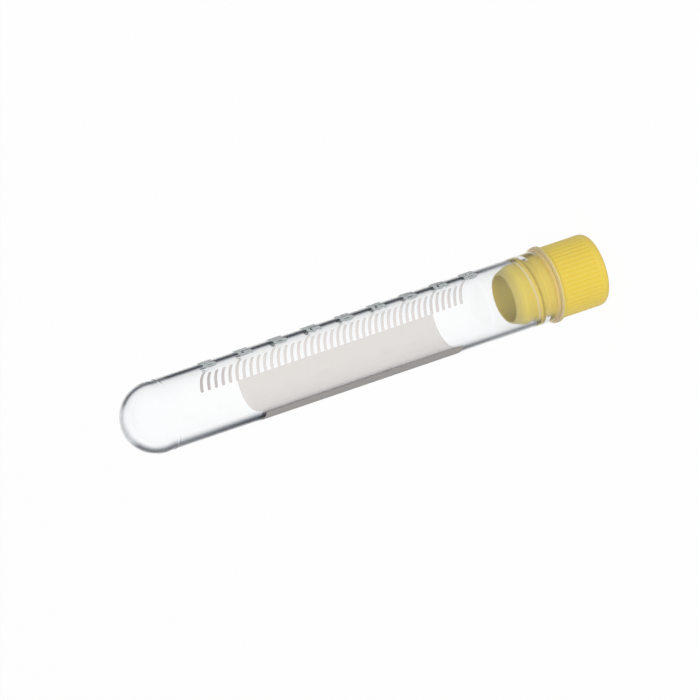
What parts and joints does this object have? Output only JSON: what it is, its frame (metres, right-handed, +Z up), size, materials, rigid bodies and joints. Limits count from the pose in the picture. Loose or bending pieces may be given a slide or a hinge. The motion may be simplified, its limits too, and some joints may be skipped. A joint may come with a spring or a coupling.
{
  "type": "cryovial",
  "caption": "Clear round-bottomed sample tube with a ribbed yellow screw cap, a soft seal ring, a printed volume scale and a writing field, standing on its cap.",
  "frame": {"origin": "centre of the cap's flat end, on the tube's axis", "axes": "+Z up the axis from the cap to the tube's round bottom; +Y towards the printed side"},
  "size_m": [0.0136, 0.0136, 0.091],
  "materials": {
    "cap_plastic": "satin moulded yellow",
    "seal_silicone": "translucent milky",
    "clear_plastic": "clear, glossy",
    "print_ink": "matte print"
  },
  "bodies": {
    "cap": {"cap": "cap_plastic"},
    "seal": {"seal_ring": "seal_silicone"},
    "tube": {"tube": "clear_plastic", "writing_field": "print_ink", "volume_scale": "print_ink"}
  },
  "joints": [
    {"name": "cap_turn", "type": "hinge", "parent": "cap", "child": "seal", "pos_m": [0, 0, 0.00925], "axis": [0, 0, 1], "range_deg": [0, 450]},
    {"name": "tube_lift", "type": "slide", "parent": "seal", "child": "tube", "axis": [0, 0, 1], "range_m": [0, 0.00332]}
  ],
  "couplings": [
    {"joint": "tube_lift", "follows": "cap_turn", "m_per_rad": 0.00042176}
  ]
}
